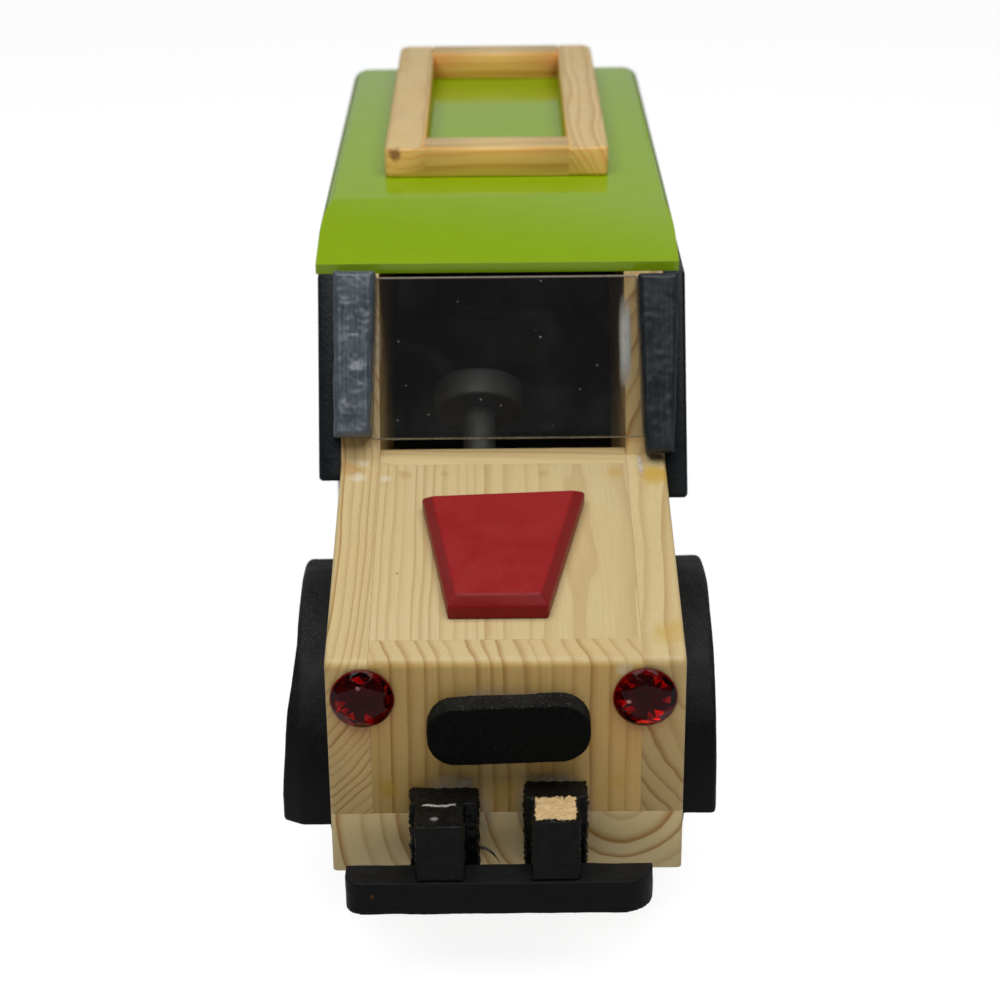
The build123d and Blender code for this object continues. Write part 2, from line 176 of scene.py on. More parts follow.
# ---- Shader helper ----
class Shader:
    """Adds shader nodes to one material and links them, so that a material reads like a recipe."""

    def __init__(self, name):
        self.material = bpy.data.materials.new(name)
        self.material.use_nodes = True
        self.nodes = self.material.node_tree.nodes
        self.links = self.material.node_tree.links
        self.nodes.clear()
        self.output = self.nodes.new("ShaderNodeOutputMaterial")

    def put(self, socket, value):
        """Sets a socket from a number, a colour or another node's output."""
        if isinstance(value, bpy.types.NodeSocket):
            self.links.new(value, socket)
        elif isinstance(value, tuple) and len(value) == 3 and socket.type == "RGBA":
            socket.default_value = (*value, 1.0)
        else:
            socket.default_value = value

    def node(self, kind, inputs=None, **settings):
        node = self.nodes.new("ShaderNode" + kind)
        for key, value in settings.items():
            setattr(node, key, value)
        for key, value in (inputs or {}).items():
            self.put(node.inputs[key], value)
        return node

    def add(self, kind, inputs=None, output=0, **settings):
        """Adds a node and returns one of its outputs."""
        return self.node(kind, inputs, **settings).outputs[output]

    def math(self, operation, a, b=0.0, clamp=False):
        return self.add("Math", {0: a, 1: b}, operation=operation, use_clamp=clamp)

    def plus(self, a, b, clamp=False):
        return self.math("ADD", a, b, clamp)

    def minus(self, a, b):
        return self.math("SUBTRACT", a, b)

    def times(self, a, b):
        return self.math("MULTIPLY", a, b)

    def vector(self, x, y, z):
        return self.add("CombineXYZ", {0: x, 1: y, 2: z})

    def vector_math(self, operation, a, b, output=0):
        return self.add("VectorMath", {0: a, 1: b}, output, operation=operation)

    def noise(self, vector, scale, detail=3.0, rough=0.5, distortion=0.0):
        inputs = dict(Vector=vector, Scale=scale, Detail=detail, Roughness=rough, Distortion=distortion)
        return self.add("TexNoise", inputs)

    def specks(self, vector, scale, size, softness):
        """Small round marks: 1 inside a mark and 0 outside it."""
        cells = self.add("TexVoronoi", {"Vector": vector, "Scale": scale}, "Distance")
        return self.span(cells, size + softness, size)

    def span(self, value, low, high, out_low=0.0, out_high=1.0):
        """Turns the span from low to high smoothly into the span from out_low to out_high."""
        inputs = {"Value": value, "From Min": low, "From Max": high, "To Min": out_low, "To Max": out_high}
        return self.add("MapRange", inputs, interpolation_type="SMOOTHSTEP")

    def ramp(self, factor, stops):
        node = self.node("ValToRGB", {"Fac": factor})
        elements = node.color_ramp.elements
        while len(elements) < len(stops):
            elements.new(0.5)
        for element, (place, shade) in zip(elements, stops):
            element.position = place
            element.color = (shade, shade, shade, 1.0)
        return node.outputs[0]

    def mix(self, factor, a, b, blend="MIX"):
        return self.add("Mix", {0: factor, 6: a, 7: b}, 2, data_type="RGBA", blend_type=blend)

    def marked(self, colour, place, marks):
        """Adds spots, each given as its centre, radius, colour and strength."""
        for centre, size, tint, strength in marks:
            colour = self.mix(self.times(self.spot(place, centre, size), strength), colour, tint)
        return colour

    def along_grain(self, axes, fine, coarse):
        """A noise place that is fine across the grain and long along it."""
        across_a, across_b, along = axes
        return self.vector(self.times(across_a, fine), self.times(across_b, fine), self.times(along, coarse))

    def sanding(self, x, y, z):
        """Faint slanting scratches left by hand sanding."""
        slant = self.vector(
            self.times(self.plus(x, z), 0.05), self.times(self.minus(x, z), 2.2), self.times(y, 0.4)
        )
        return self.span(self.noise(slant, 1.0, 3.0, 0.7), 0.58, 0.72)

    def spot(self, place, centre, size):
        """1 at a spot's centre, fading to 0 at its uneven rim."""
        away = self.vector_math("DISTANCE", place, centre, "Value")
        uneven = self.times(self.noise(place, 1.6 / size, 3.0), size * 0.9)
        return self.span(self.plus(away, uneven), size * 1.35, size * 0.7)

    def lets_light_through(self, body, tint):
        """Ends the recipe in a shader that casts only a tinted shadow."""
        through = self.add("BsdfTransparent", {"Color": tint})
        shadow = self.add("LightPath", output="Is Shadow Ray")
        return self.ends_in(self.blend(shadow, body, through))

    def blend(self, factor, first, second):
        return self.add("MixShader", {0: factor, 1: first, 2: second})

    def diffuse(self, colour):
        return self.add("BsdfDiffuse", {"Color": colour})

    def principled(self, **inputs):
        """A Principled shader; underscores in a name stand for spaces."""
        named = {key.replace("_", " "): value for key, value in inputs.items()}
        return self.add("BsdfPrincipled", named)

    def ends_in(self, shader):
        self.put(self.output.inputs["Surface"], shader)
        return self.material

    def place(self):
        """The place on the object, in millimetres."""
        return self.vector_math("MULTIPLY", self.add("TexCoord", output="Object"), (1 / MM,) * 3)

    def coordinates(self):
        """The place on the object in millimetres, as one vector and as x, y and z."""
        place = self.place()
        x, y, z = self.node("SeparateXYZ", {0: place}).outputs
        return place, x, y, z

    def up_facing(self, low=0.2, high=0.9):
        normal = self.add("NewGeometry", output="Normal")
        return self.span(self.add("SeparateXYZ", {0: normal}, 2), low, high)

    def edges(self):
        """1 along edges: where the normal changes within a short reach."""
        rounded = self.add("Bevel", {"Radius": EDGE_REACH * MM}, samples=4)
        normal = self.add("NewGeometry", output="Normal")
        return self.span(self.vector_math("DOT_PRODUCT", rounded, normal, "Value"), 0.985, 0.86)

    def bump(self, height, depth, strength):
        inputs = {"Height": height, "Distance": depth * MM, "Strength": strength}
        return self.add("Bump", inputs)

    def surface(self, **inputs):
        return self.ends_in(self.principled(**inputs))


# ---- Materials ----
def scaled(colour, factor, lift=0.0):
    return tuple(channel * factor + lift for channel in colour)


def grain_axes(s, x, y, z, grain, slope):
    """The place as two coordinates across the grain and one along it."""
    lifted = s.minus(z, s.times(y, slope))
    return {"X": (y, lifted, x), "Y": (x, lifted, y), "Z": (x, y, z)}[grain]


def growth_rings(s, axes, pith, ring, seed, wander):
    """How much summer wood there is at a place: solid, slightly wavy rings around the pith."""
    across_a, across_b, along = axes
    slow = s.vector(s.times(across_a, 0.045), s.plus(s.times(across_b, 0.045), seed), s.times(along, 0.008))
    wander_a = s.times(s.minus(s.noise(slow, 1.0, 2.0), 0.5), 9.0 * wander)
    wander_b = s.times(s.minus(s.noise(slow, 1.7, 2.0), 0.5), 7.0 * wander)
    ring_a = s.plus(s.minus(across_a, pith[0]), wander_a)
    ring_b = s.plus(s.minus(across_b, pith[1]), wander_b)
    radius = s.math("SQRT", s.plus(s.math("POWER", ring_a, 2.0), s.math("POWER", ring_b, 2.0)))
    uneven = s.noise(s.vector(s.times(radius, 0.9 / ring), seed, 0.0), 0.5, 2.0)
    phase = s.plus(s.math("DIVIDE", radius, ring), s.times(uneven, 1.6))
    late = s.ramp(s.math("FRACT", phase), LATE_WOOD)
    year = s.add("TexWhiteNoise", {"W": s.math("FLOOR", phase)}, noise_dimensions="1D")
    return s.times(late, s.span(year, 0.0, 1.0, 0.35, 1.0))


def pine_colour(s, place, axes, late, fibres, honey):
    """Pale spring wood, darker summer wood, fibres, warm patches and short dark pores."""
    patches = s.noise(place, 0.03, 3.0)
    colour = s.mix(late, PINE_LIGHT, PINE_DARK)
    colour = s.mix(s.span(fibres, 0.35, 0.75, 0.0, 0.26), colour, PINE_FIBRE)
    colour = s.mix(s.span(patches, 0.35, 0.7, honey * 0.5, honey), colour, PINE_HONEY)
    pores = s.noise(s.along_grain(axes, 3.0, 0.30), 1.0, 2.0)
    return s.mix(s.span(pores, 0.72, 0.78, 0.0, 0.5), colour, PINE_PORE)


def pine(name, grain, pith, ring, seed, slope=0.0, contrast=0.8, depth=0.0, marks=(), wander=1.0,
         honey=0.22, shade=PINE_PAINTED_SHADE):
    """Pine with solid growth rings, so long faces show lines and cut ends show arcs.

    grain is the board's long axis, pith the ring centre on the other two axes, ring the ring width
    and wander how wavy the rings are. slope tilts the grain of a board that rises towards the rear.
    depth says how strongly the shade colour is multiplied into the faces that do not look up, as
    painted shade; the rack's shade colour is brighter than white and paints light on its sides
    instead. honey is the strength of the warm patches. marks are spots of glue, resin or dirt.
    """
    s = Shader(name)
    place, x, y, z = s.coordinates()
    axes = grain_axes(s, x, y, z, grain, slope)
    late = growth_rings(s, axes, pith, ring, seed, wander)
    fibres = s.noise(s.along_grain(axes, 1.9, 0.05), 1.0, 5.0, 0.62)
    hairs = s.noise(s.along_grain(axes, 5.5, 0.12), 1.0, 2.0)
    colour = pine_colour(s, place, axes, s.times(late, contrast), fibres, honey)
    # Painted shade on the faces that do not look up (painted light with the rack's shade colour)
    if depth:
        sides_painted_shading = s.minus(1.0, s.times(s.up_facing(), 0.9))
        colour = s.mix(s.times(sides_painted_shading, depth), colour, s.mix(1.0, colour, shade, "MULTIPLY"))
    colour = s.marked(colour, place, marks)
    scratches = s.sanding(x, y, z)
    colour = s.mix(s.times(scratches, 0.20), colour, PINE_SCRATCH)
    worn = s.times(s.edges(), s.span(s.noise(place, 0.3, 3.0), 0.35, 0.65))
    colour = s.mix(s.times(worn, 0.3), colour, PINE_SCRATCH)

    height = s.plus(s.times(late, 0.35), s.times(fibres, 0.45))
    height = s.plus(height, s.times(hairs, 0.2))
    height = s.minus(height, s.times(scratches, 0.25))
    gloss = s.span(s.noise(place, 0.22, 4.0), 0.3, 0.7, 0.40, 0.56)
    return s.surface(Base_Color=colour, Roughness=gloss, Normal=s.bump(height, 0.10, 0.7),
                     Coat_Weight=0.12, Coat_Roughness=0.25, Specular_IOR_Level=0.35)


def brush_strokes(s, x, y, z, axis, lean):
    """Noise drawn out along the way the brush went."""
    stretch = {"X": (0.05, 1.3, 1.3), "Y": (1.3, 0.05, 1.3), "Z": (1.3, 1.3, 0.05)}[axis]
    upright = s.minus(y, s.times(z, lean))
    brushed = s.vector(*(s.times(part, k) for part, k in zip((x, upright, z), stretch)))
    return s.noise(brushed, 1.0, 4.0, 0.6)


def enamel(s, colour, strokes, blotches, streaks, mottle, shade):
    """The paint's colour: cloudy, paler on brush ridges, with painted shade on faces that do not look up."""
    tone = s.mix(s.span(blotches, 0.3, 0.7, 0.0, mottle), colour, scaled(colour, 1.3, 0.001))
    ridges = s.span(strokes, 0.48, 0.62, 0.0, min(streaks, 2.0) * 0.45)
    tone = s.mix(ridges, tone, scaled(colour, 2.2, 0.002))
    # Painted shade: faces that do not look up are darkened by the shade amount
    sides_painted_shading = s.minus(1.0, s.up_facing(0.7, 0.95))
    return s.mix(s.times(sides_painted_shading, shade), tone, (0.0, 0.0, 0.0))


def dusted(s, tone, place, film, dust):
    """A thin film of dust on top faces, and small motes."""
    fine_motes = s.specks(place, 1.5, 0.13, 0.05)
    tone = s.mix(s.times(film, dust * 0.07), tone, DUST)
    dotted = s.times(s.plus(film, 0.12, clamp=True), dust)
    return s.mix(s.times(fine_motes, dotted), tone, DUST)


def broken_wood(s, x, y, z, under):
    """The splintery wood, or the pale scrape, where the paint has gone."""
    splinters = s.noise(s.vector(s.times(x, 0.5), s.times(y, 3.0), s.times(z, 3.0)), 1.0, 4.0, 0.6)
    return s.mix(s.span(splinters, 0.35, 0.7), under, scaled(under, 0.62))


def paint(name, colour, streak_axis, gloss=0.30, streaks=0.35, dust=0.5, chips=0.35, sheen=0.25, coat=0.0,
          lumps=0.8, mottle=0.5, shade=0.0, lean=0.0, under=BARE_WOOD, marks=(), patch=None):
    """Brushed enamel over wood: brush streaks, dust on top faces, small specks and chipped edges.

    lean is how far a sloping piece runs back for each step up, so that its streaks follow it. shade
    is painted shade: it darkens the faces that do not look up. patch, if given, takes this recipe
    and returns where the paint has broken away.
    """
    s = Shader(name)
    place, x, y, z = s.coordinates()
    strokes = brush_strokes(s, x, y, z, streak_axis, lean)
    blotches = s.noise(place, 0.13, 4.0, 0.55)
    peel = s.noise(place, 0.9, 2.0, 0.5)
    motes = s.specks(place, 0.55, 0.09, 0.05)
    film = s.times(s.up_facing(), s.span(blotches, 0.3, 0.7, 0.3, 1.0))
    tone = enamel(s, colour, strokes, blotches, streaks, mottle, shade)
    tone = dusted(s, tone, place, film, dust)
    worn_here = s.span(s.noise(place, 0.5, 4.0, 0.7), 0.58, 0.64)
    worn = s.times(s.times(s.edges(), worn_here), chips)
    tone = s.marked(s.mix(worn, tone, under), place, marks)
    cloudy = s.span(blotches, 0.3, 0.7, gloss, gloss + 0.24 * mottle)
    roughness = s.plus(cloudy, s.times(film, dust * 0.25))
    if patch:
        bare = patch(s, place, x, y, z)
        tone = s.mix(bare, tone, broken_wood(s, x, y, z, under))
        roughness = s.plus(roughness, s.times(bare, 0.3), clamp=True)
    height = s.plus(s.times(strokes, streaks), s.times(blotches, lumps))
    height = s.plus(height, s.times(motes, 0.2))
    height = s.plus(height, s.times(peel, lumps * 0.12))
    height = s.minus(height, s.times(worn, 0.6))
    return s.surface(Base_Color=tone, Roughness=roughness, Normal=s.bump(height, 0.16, 0.8),
                     Specular_IOR_Level=sheen, Coat_Weight=coat, Coat_Roughness=0.14)


def clear_acrylic(name):
    """Clear acrylic sheet. Shadow rays pass straight through, so that the cab behind it is lit."""
    s = Shader(name)
    place = s.place()
    smears = s.noise(place, 0.05, 5.0, 0.7, 0.8)
    film = s.span(smears, 0.40, 0.75, 0.001, 0.010)
    dirty = s.span(s.noise(place, 0.11, 1.0), 0.60, 0.64)
    motes = s.times(s.specks(place, 0.30, 0.07, 0.03), dirty)
    dirt = s.plus(film, s.times(motes, 0.4), clamp=True)
    sheet = s.principled(Base_Color=(0.95, 0.94, 0.92), Roughness=0.0, IOR=1.47, Transmission_Weight=1.0,
                         Specular_IOR_Level=0.4)
    body = s.blend(dirt, sheet, s.diffuse((0.8, 0.78, 0.74)))
    return s.lets_light_through(body, (0.92, 0.90, 0.87))


def sawn_acrylic(name):
    """The sheet's cut and rubbed edge: frosted, so it catches the light as a pale line."""
    s = Shader(name)
    chatter = s.noise(s.place(), 1.2, 4.0, 0.7)
    tone = s.mix(s.span(chatter, 0.35, 0.7), (0.20, 0.16, 0.11), (0.44, 0.38, 0.30))
    edge = s.principled(Base_Color=tone, Roughness=0.35, IOR=1.49, Transmission_Weight=0.45,
                        Normal=s.bump(chatter, 0.1, 0.6))
    return s.lets_light_through(edge, (0.8, 0.77, 0.72))


def gem_crown(name):
    """Moulded red acrylic of a craft gem."""
    s = Shader(name)
    place = s.place()
    gloss = s.span(s.noise(place, 0.5, 4.0), 0.35, 0.8, 0.03, 0.10)
    sheet = s.principled(Base_Color=GEM, Roughness=gloss, IOR=1.28, Transmission_Weight=1.0,
                         Specular_IOR_Level=0.28, Normal=s.bump(s.noise(place, 0.35, 2.0), 0.10, 0.5))
    return s.lets_light_through(sheet, GEM)


def gem_foil(name, dark, bright):
    """Red foil behind the gem, slightly crumpled."""
    s = Shader(name)
    crumple = s.noise(s.place(), 0.45, 3.0)
    tone = s.mix(s.span(crumple, 0.35, 0.65), dark, bright)
    return s.surface(Base_Color=tone, Metallic=1.0, Roughness=0.12, Normal=s.bump(crumple, 0.25, 0.5))


def glue(name, cloud, tint):
    """Dried glue: a cloudy, glossy film. cloud is how much it covers in its clear and milky patches."""
    s = Shader(name)
    clouds = s.noise(s.place(), 0.28, 4.0, 0.6)
    cloudy = s.mix(clouds, scaled(tint, 0.78), tint)
    milky = s.principled(Base_Color=cloudy, Roughness=0.2, Normal=s.bump(clouds, 0.5, 0.6))
    facing = s.add("LayerWeight", {"Blend": 0.35}, "Facing")
    inward = s.span(s.add("Attribute", output="Fac", attribute_name="fade"), 0.0, 0.7)
    cover = s.plus(s.span(clouds, 0.30, 0.70, *cloud), s.times(facing, 0.08), clamp=True)
    cover = s.times(cover, inward)
    return s.ends_in(s.blend(cover, s.add("BsdfTransparent"), milky))


def plain_floor(name):
    """Pale paper. It is near white to the camera and grey to the light that it throws back."""
    s = Shader(name)
    tone = s.mix(s.noise(s.place(), 0.01, 3.0), (0.29, 0.29, 0.29), (0.31, 0.31, 0.31))
    glow = s.add("Emission", {"Color": (1, 1, 1), "Strength": FLOOR_GLOW})
    seen = s.add("AddShader", {0: s.diffuse(tone), 1: glow})
    camera_ray = s.add("LightPath", output="Is Camera Ray")
    return s.ends_in(s.blend(camera_ray, s.diffuse((FLOOR_BOUNCE,) * 3), seen))


# ---- Mesh helpers ----
def slot_of(node):
    return next(part["material_slot"] for part in frame["record"]["subparts"] if part["node"] == node)


def at(x, y, z):
    """A place measured from the front face, the wagon's middle and the body's underside, in metres."""
    return Vector((x * MM, FACE_Y + y * MM, UNDER_Z + z * MM))


def spot(x, y, z, size, tint, strength):
    """A mark for a material: a place measured as at() measures it, a radius, a colour and a strength."""
    return tuple(at(x, y, z) / MM), size, tint, strength


def link(name, data):
    piece = bpy.data.objects.new(name, data)
    SCENE.collection.objects.link(piece)
    return piece


def new_object(name, bm, material, smooth=True):
    mesh = bpy.data.meshes.new(name)
    bmesh.ops.recalc_face_normals(bm, faces=bm.faces)
    bm.to_mesh(mesh)
    bm.free()
    piece = link(name, mesh)
    mesh.materials.append(material)
    for polygon in mesh.polygons:
        polygon.use_smooth = smooth
    return piece


def join_wagon(piece):
    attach(piece, WAGON)


def stand_in(piece, node):
    """Puts a piece on the body of the CAD node that it stands in for, and hides that node."""
    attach(piece, next(body for body, nodes in BODIES.items() if node in nodes))
    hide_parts(node)


def apply_modifiers(piece):
    depsgraph = bpy.context.evaluated_depsgraph_get()
    mesh = bpy.data.meshes.new_from_object(piece.evaluated_get(depsgraph))
    piece.modifiers.clear()
    piece.data = mesh


def wobble(place, size, seed):
    """Smooth noise between about -1 and 1, with features of the given size in millimetres."""
    return noise.noise(Vector(place) / (size * MM) + Vector((seed, seed * 0.37, -seed)))


def cad_copy(node, reach):
    """A CAD node's mesh with points within reach of each other joined, as editable mesh data."""
    bm = bmesh.new()
    bm.from_mesh(NODES[node].data)
    bmesh.ops.remove_doubles(bm, verts=bm.verts, dist=reach)
    return bm


def carved(node, material, voxel, soften, roughness, seed, shape=None):
    """A hand-worked copy of a CAD node: remeshed evenly, edges softened, surface slightly uneven.

    roughness is a list of (feature size, height) pairs. shape may move each point of the surface.
    """
    piece = new_object(node + "_worked", cad_copy(node, WELD), material)
    remesh = piece.modifiers.new("even", "REMESH")
    remesh.mode = "VOXEL"
    remesh.voxel_size = voxel * MM
    relax = piece.modifiers.new("soften", "SMOOTH")
    relax.factor = RELAX_STEP
    relax.iterations = soften
    apply_modifiers(piece)
    roughen(piece.data, roughness, seed, shape)
    for polygon in piece.data.polygons:
        polygon.use_smooth = True
    stand_in(piece, node)


def roughen(mesh, roughness, seed, shape):
    normals = [vertex.normal.copy() for vertex in mesh.vertices]
    for vertex, normal in zip(mesh.vertices, normals):
        place = vertex.co.copy()
        for size, height in roughness:
            place += normal * wobble(vertex.co, size, seed) * height * MM
        if shape:
            place += shape(vertex.co, normal) * MM
        vertex.co = place


def mark_sharp_edges(bm, kept_tight):
    """Gives every sharp edge a bevel weight, apart from those in a tight joint."""
    weight = bm.edges.layers.float.new("bevel_weight_edge")
    for edge in bm.edges:
        middle = (edge.verts[0].co + edge.verts[1].co) / 2
        sharp = len(edge.link_faces) == 2 and edge.calc_face_angle() > SHARP_ANGLE
        edge[weight] = float(sharp and not kept_tight(middle))


def dress(node, material, edge=0.3, segments=2, sawn=None, kept_tight=lambda middle: False):
    """A finished copy of a CAD node, with its sharp edges broken and its flat faces kept flat.

    sawn, if given, is the material of the broken edges. kept_tight picks the edges to leave sharp.
    """
    bm = cad_copy(node, 2 * WELD)
    bmesh.ops.dissolve_limit(bm, angle_limit=FLAT_ANGLE, verts=bm.verts, edges=bm.edges)
    mark_sharp_edges(bm, kept_tight)
    piece = new_object(node + "_finished", bm, material, smooth=sawn is None)
    bevel = piece.modifiers.new("edge", "BEVEL")
    bevel.width = edge * MM
    bevel.segments = segments
    bevel.limit_method = "WEIGHT"
    bevel.harden_normals = sawn is None
    if sawn:
        piece.data.materials.append(sawn)
        bevel.material = 1
    apply_modifiers(piece)
    stand_in(piece, node)


def outline_reach(c, d, seed, ragged, power):
    """How far a puddle's uneven outline is from its centre, as a share of its radius."""
    reach = (abs(c) ** power + abs(d) ** power) ** (-1 / power)
    return reach * (1 + ragged * noise.noise(Vector((c * 1.7 + seed, d * 1.7, seed))))


def film(name, material, centre, rise, radii, height, seed, ragged=0.18, rings=7, power=2.4):
    """A thin domed puddle on a flat face: a closed solid with an uneven outline.

    rise is the face's upward direction, radii the half-sizes across and along it. power sets the
    outline: 2 is an ellipse and larger values are boxier. "fade" is 1 in the middle and 0 at the
    rim, for the glue material.
    """
    rise = Vector(rise).normalized()
    out = ACROSS.cross(rise)
    bm = bmesh.new()
    fade = bm.verts.layers.float.new("fade")
    top = bm.verts.new(centre + out * height * MM)
    under = bm.verts.new(centre + out * FILM_ROOT * MM)
    top[fade] = 1.0
    under[fade] = 1.0
    loops = []
    for ring in range(1, rings + 1):
        share = ring / rings
        dome = height * (1 - share ** 2) ** 0.6
        loop = []
        for spoke in range(FILM_SPOKES):
            angle = math.tau * spoke / FILM_SPOKES
            c, d = math.cos(angle), math.sin(angle)
            reach = outline_reach(c, d, seed, ragged, power)
            spread = ACROSS * (c * reach * radii[0] * share) + rise * (d * reach * radii[1] * share)
            place = centre + spread * MM
            lift = dome * (1 + 0.35 * wobble(place, 2.5, seed))
            point = bm.verts.new(place + out * (lift if ring < rings else FILM_ROOT) * MM)
            point[fade] = 1 - share
            loop.append(point)
        loops.append(loop)
    for spoke in range(FILM_SPOKES):
        after = (spoke + 1) % FILM_SPOKES
        bm.faces.new((top, loops[0][spoke], loops[0][after]))
        bm.faces.new((under, loops[-1][after], loops[-1][spoke]))
        for inner, outer in zip(loops, loops[1:]):
            bm.faces.new((inner[spoke], outer[spoke], outer[after], inner[after]))
    return new_object(name, bm, material)


# ---- The gems ----
def gem_ring(bm, back, count, turn, radius, height):
    """A ring of points around a gem's axis, a height in front of its back."""
    ring = []
    for index in range(count):
        angle = math.tau * (index + turn) / count
        spread = ACROSS * math.cos(angle) + UP * math.sin(angle)
        ring.append(bm.verts.new(back + spread * radius * MM + FORWARD * height * MM))
    return ring


def build_gem(node, seed):
    """A round flat-backed craft gem: a moulded crown, foil behind it, a rim of glue and a bubble."""
    low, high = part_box(node)
    middle = (low + high) / 2
    radius = (high.x - low.x) / 2 / MM
    thick = (high.y - low.y) / MM
    back = Vector((middle.x, high.y, middle.z))
    build_crown(node, back, radius, thick)
    build_foil(node, back, radius, seed)
    centre = Vector((middle.x, FACE_Y, middle.z))
    rim_glue = glue("glue_" + node, (0.35, 0.9), GLUE_WHITE)
    rim = (radius + HALO_WIDTH,) * 2
    halo = film(node + "_glue", rim_glue, centre, UP, rim, HALO_HEIGHT, seed, ragged=0.07, rings=14,
                power=2.0)
    join_wagon(halo)
    aside, up = BUBBLE_PLACE[node]
    bubble_at = back + (ACROSS * aside + UP * up) * radius * MM + FORWARD * (thick - BUBBLE_SUNK) * MM
    pink = glue("bubble_" + node, (0.12, 0.5), BUBBLE_PINK)
    bubble = film(node + "_bubble", pink, bubble_at, UP, BUBBLE_RADII, BUBBLE_HEIGHT, seed + 1, power=2.0)
    join_wagon(bubble)


def build_crown(node, back, radius, thick):
    """A round girdle, eight kite facets and eight triangles below a flat eight-sided table."""
    step = GIRDLE_SPOKES // FACETS
    shoulder_height = GIRDLE_HEIGHT * thick + SHOULDER_RISE * thick
    bm = bmesh.new()
    back_ring = gem_ring(bm, back, GIRDLE_SPOKES, 0.0, radius * BACK_RADIUS, 0.0)
    girdle = gem_ring(bm, back, GIRDLE_SPOKES, 0.0, radius, GIRDLE_HEIGHT * thick)
    shoulder = gem_ring(bm, back, FACETS, 0.5, radius * SHOULDER_RADIUS, shoulder_height)
    table = gem_ring(bm, back, FACETS, 0.0, radius * TABLE_RADIUS, thick)
    bm.faces.new(table)
    bm.faces.new(list(reversed(back_ring)))
    for index in range(GIRDLE_SPOKES):
        after = (index + 1) % GIRDLE_SPOKES
        bm.faces.new((back_ring[index], back_ring[after], girdle[after], girdle[index]))
    for index in range(FACETS):
        after = (index + 1) % FACETS
        tip = shoulder[index]
        arc = [girdle[(index * step + k) % GIRDLE_SPOKES] for k in range(step + 1)]
        bm.faces.new((table[index], tip, table[after]))
        bm.faces.new((table[after], tip, arc[-1], shoulder[after]))
        for first, second in zip(arc, arc[1:]):
            bm.faces.new((first, second, tip))
    gem = new_object(node + "_crown", bm, gem_crown("gem_acrylic_" + node), smooth=False)
    soften = gem.modifiers.new("moulded", "BEVEL")
    soften.width = MOULDED_EDGE * MM
    soften.segments = 2
    soften.angle_limit = math.radians(12)
    apply_modifiers(gem)
    stand_in(gem, node)


def build_foil(node, back, radius, seed):
    """The foil: a ring of folds around a middle; the middle and some folds get a darker foil as painted
    shade, and a few folds a bright one as painted glints.
    """
    draw = random.Random(seed)
    rim_foil = gem_foil("gem_foil_" + node, (0.24, 0.003, 0.004), (0.55, 0.012, 0.012))
    # Painted shade: a darker copy of the foil for the middle, where the gem looks dark
    painted_shade_foil = gem_foil("gem_foil_painted_shade_" + node, (0.020, 0.001, 0.001), (0.055, 0.002, 0.002))
    # Painted glints: a bright copy of the foil for a few folds
    painted_glint_foil = gem_foil("gem_foil_painted_glint_" + node, (0.9, 0.03, 0.03), (1.0, 0.12, 0.08))
    bm = bmesh.new()
    rim, fold, core = (
        gem_ring(bm, back, FOLDS, turn, radius * share, up) for turn, share, up in FOIL_RINGS
    )
    tip = bm.verts.new(back + FORWARD * FOIL_TIP * MM)
    kinds = []
    for index in range(FOLDS):
        after = (index + 1) % FOLDS
        for face, deep in (
            ((rim[index], rim[after], fold[index]), draw.random() < 0.25),
            ((rim[after], fold[after], fold[index]), draw.random() < 0.35),
            ((fold[index], fold[after], core[index]), draw.random() < 0.75),
            ((fold[after], core[after], core[index]), draw.random() < 0.9),
            ((core[index], core[after], tip), True),
        ):
            bm.faces.new(face)
            kinds.append(1 if deep else (2 if draw.random() < 0.14 else 0))
    foil = new_object(node + "_foil", bm, rim_foil, smooth=False)
    foil.data.materials.append(painted_shade_foil)
    foil.data.materials.append(painted_glint_foil)
    for polygon, kind in zip(foil.data.polygons, kinds):
        polygon.material_index = kind
    shell = foil.modifiers.new("thickness", "SOLIDIFY")
    shell.thickness = 0.05 * MM
    shell.offset = 0
    apply_modifiers(foil)
    join_wagon(foil)


# ---- Hand-painted black parts ----
def bracket_shape(node, chipped):
    """Ragged sawn sides, and a broken-out top on the bracket that lost its paint."""
    nose_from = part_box(node)[1].y - NOSE_BACK * MM

    def move(place, normal):
        fray = 0.95 * max(wobble(place, 0.8, 3.1), -0.2) + 0.40 * wobble(place, 2.2, 7.7)
        on_nose = place.y < nose_from - 1.5 * MM
        shift = normal * abs(normal.x) * fray * (0.35 if on_nose else 1.0)
        shift += normal * max(normal.z, 0.0) * 0.30 * wobble(place, 2.0, 5.5)
        if chipped and normal.z > 0.6 and place.y < nose_from - 0.4 * MM:
            broken = 0.45 + 0.35 * wobble(place, 2.2, 1.3) + 0.2 * wobble(place, 0.8, 4.3)
            shift.z -= max(broken, 0.0)
        return shift

    return move


def pillar_shape(node):
    """A few dents in the front: share of the width, share of the height, size and depth of each."""
    low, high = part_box(node)

    def move(place, normal):
        shift = Vector((0, 0, 0))
        for across, rise, size, deep in PILLAR_DENTS:
            centre_x = low.x + (high.x - low.x) * across
            centre_z = low.z + (high.z - low.z) * rise
            away = math.hypot(place.x - centre_x, (place.z - centre_z) * 0.8) / MM / size
            shift -= normal * deep * math.exp(-away * away) * max(-normal.y, 0.0)
        return shift

    return move


def build_brackets():
    finish = dict(gloss=0.30, streaks=0.9, dust=0.25, chips=0.0, sheen=0.16, lumps=0.4)
    hewn = ((3.2, 0.34), (1.3, 0.18))
    scraped = paint("black_bracket_right", MATT_BLACK, "Z", under=SCRAPE, patch=scraped_top, **finish)
    broken = paint("black_bracket_left", MATT_BLACK, "Z", patch=broken_top, **finish)
    for side, material, seed, chipped in (("right", scraped, 2.2, False), ("left", broken, 6.1, True)):
        node = "bumper_bracket_" + side
        carved(node, material, 0.35, 7, hewn, seed, bracket_shape(node, chipped))


